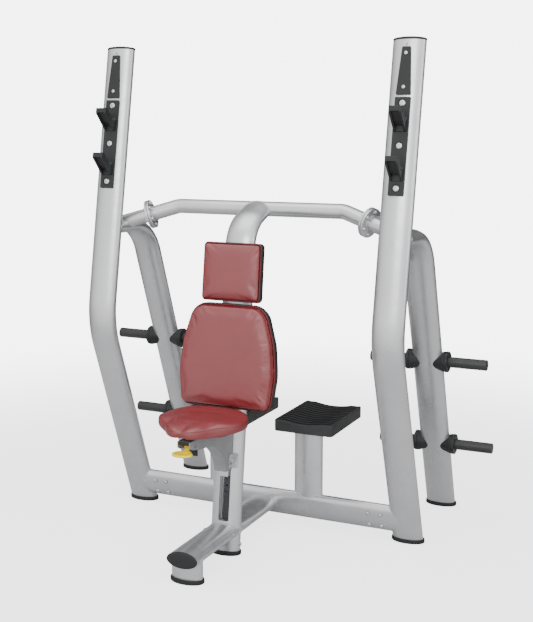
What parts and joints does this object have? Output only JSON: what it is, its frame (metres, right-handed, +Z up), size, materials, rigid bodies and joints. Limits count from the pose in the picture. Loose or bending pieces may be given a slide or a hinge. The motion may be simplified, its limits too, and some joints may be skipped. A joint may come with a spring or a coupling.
{
  "type": "seated olympic press bench",
  "caption": "Seated press bench with barbell racks on two leaning uprights, storage horns, spotter steps and a seat that slides up its post.",
  "frame": {"origin": "centre of the footprint's box, on the floor", "axes": "+Z up; the lifter faces -Y; +X to the right as seen from the front"},
  "size_m": [1.642, 1.242, 1.8764],
  "materials": {
    "silver_paint": "satin silver-grey powder coat with a fine grain",
    "grey_horn": "dark grey satin coat on steel bar",
    "black_plastic": "moulded, fine matt grain",
    "black_rubber": "moulded rubber, matt",
    "black_board": "moulded backing board, matt",
    "red_vinyl": "burgundy upholstery vinyl, fine leather grain",
    "bright_zinc": "bright zinc plate",
    "bare_steel": "drawn bar, lightly oiled",
    "yellow_plastic": "semi-gloss moulded plastic"
  },
  "bodies": {
    "frame": {"back_board": "black_board", "back_pad": "red_vinyl", "base_crossbar": "silver_paint", "base_spine_front": "silver_paint", "base_spine_rear": "silver_paint", "centre_post": "silver_paint", "crossbar_bolts_left": "bright_zinc", "crossbar_bolts_right": "bright_zinc", "flange_bolts_left": "bright_zinc", "flange_bolts_right": "bright_zinc", "foot_cap_front": "black_rubber", "foot_cap_leg_left": "black_rubber", "foot_cap_leg_right": "black_rubber", "foot_cap_post": "black_rubber", "foot_cap_upright_left": "black_rubber", "foot_cap_upright_right": "black_rubber", "front_riser": "silver_paint", "guard_left": "black_plastic", "guard_right": "black_plastic", "head_board": "black_board", "head_pad": "red_vinyl", "horn_collar_left_lower_inner": "black_plastic", "horn_collar_left_lower_outer": "black_plastic", "horn_collar_left_upper_inner": "black_plastic", "horn_collar_left_upper_outer": "black_plastic", "horn_collar_right_lower_inner": "black_plastic", "horn_collar_right_lower_outer": "black_plastic", "horn_collar_right_upper_inner": "black_plastic", "horn_collar_right_upper_outer": "black_plastic", "index_rack": "bare_steel", "rack_bolts_left": "bright_zinc", "rack_bolts_right": "bright_zinc", "rack_left": "black_plastic", "rack_right": "black_plastic", "rear_leg_left": "silver_paint", "rear_leg_right": "silver_paint", "spine_end_cap": "black_plastic", "step_pad_left": "black_rubber", "step_pad_right": "black_rubber", "step_post_left": "silver_paint", "step_post_right": "silver_paint", "top_crossbar": "silver_paint", "top_stub_left": "silver_paint", "top_stub_right": "silver_paint", "upright_cap_left": "black_plastic", "upright_cap_right": "black_plastic", "upright_left": "silver_paint", "upright_right": "silver_paint", "weight_horn_left_lower": "grey_horn", "weight_horn_left_upper": "grey_horn", "weight_horn_right_lower": "grey_horn", "weight_horn_right_upper": "grey_horn"},
    "seat_unit": {"seat_carriage": "silver_paint", "seat_board": "black_board", "seat_pad": "red_vinyl", "guide_block": "bright_zinc", "guide_plate": "bright_zinc", "lever_pin": "bare_steel"},
    "lever": {"release_lever": "yellow_plastic"},
    "lock": {"lock_pin": "bare_steel"}
  },
  "joints": [
    {"name": "seat_height", "type": "slide", "parent": "frame", "child": "seat_unit", "axis": [0, 0.1226, 0.9925], "range_m": [-0.15, 0]},
    {"name": "lever_lift", "type": "hinge", "parent": "seat_unit", "child": "lever", "pos_m": [0, -0.542, 0.484], "axis": [-1, 0, 0], "range_deg": [0, 11.5], "stiffness_Nm_per_rad": 0.6, "springref_deg": -11.46},
    {"name": "pin_draw", "type": "slide", "parent": "seat_unit", "child": "lock", "axis": [0, -0.9925, 0.1226], "range_m": [0, 0.0085]}
  ],
  "couplings": [
    {"joint": "pin_draw", "follows": "lever_lift", "m_per_rad": 0.04}
  ]
}
